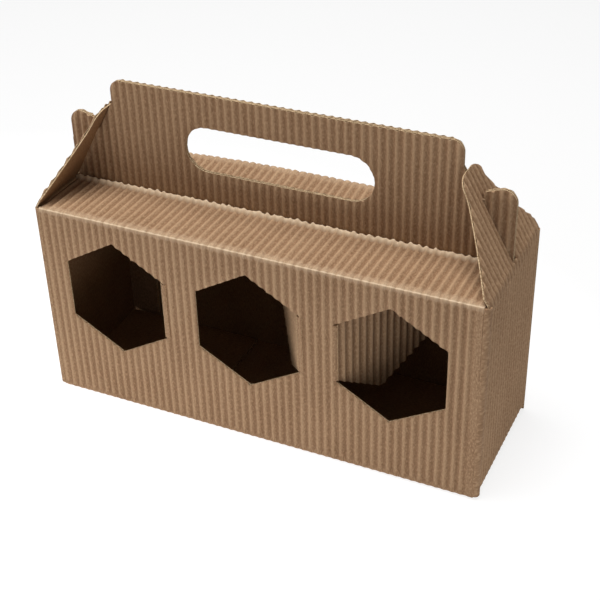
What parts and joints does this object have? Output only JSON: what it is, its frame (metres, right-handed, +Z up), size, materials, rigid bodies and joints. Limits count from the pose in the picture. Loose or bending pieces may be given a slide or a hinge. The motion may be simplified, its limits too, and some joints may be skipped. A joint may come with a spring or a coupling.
{
  "type": "jar box",
  "caption": "Folded corrugated kraft carry carton for jars, with hexagon windows in front, gable end flaps and a slotted handle on top.",
  "frame": {"origin": "middle of the base, on the surface it stands on", "axes": "+Z up, +X along the carton's length, -Y towards the windowed front"},
  "size_m": [0.209, 0.069, 0.147],
  "materials": {
    "kraft_board": "matte, fluted outside"
  },
  "bodies": {
    "carton": {"carton": "kraft_board"},
    "gable_flap_left": {"gable_flap_left": "kraft_board"},
    "gable_flap_right": {"gable_flap_right": "kraft_board"},
    "window_flap_left": {"window_flap_left": "kraft_board"},
    "window_flap_middle": {"window_flap_middle": "kraft_board"},
    "window_flap_right": {"window_flap_right": "kraft_board"}
  },
  "joints": [
    {"name": "gable_left_hinge", "type": "hinge", "parent": "carton", "child": "gable_flap_left", "pos_m": [-0.1037, 0, 0.0962], "axis": [0, -1, 0], "range_deg": [0, 119]},
    {"name": "gable_right_hinge", "type": "hinge", "parent": "carton", "child": "gable_flap_right", "pos_m": [0.1037, 0, 0.0962], "axis": [0, 1, 0], "range_deg": [0, 119]},
    {"name": "window_left_hinge", "type": "hinge", "parent": "carton", "child": "window_flap_left", "pos_m": [-0.04132, -0.0329, 0.0575], "axis": [0, 0, -1], "range_deg": [-60, 30]},
    {"name": "window_middle_hinge", "type": "hinge", "parent": "carton", "child": "window_flap_middle", "pos_m": [0.02348, -0.0329, 0.0575], "axis": [0, 0, -1], "range_deg": [-57, 33]},
    {"name": "window_right_hinge", "type": "hinge", "parent": "carton", "child": "window_flap_right", "pos_m": [0.03892, -0.0329, 0.0575], "axis": [0, 0, 1], "range_deg": [-62, 28]}
  ]
}
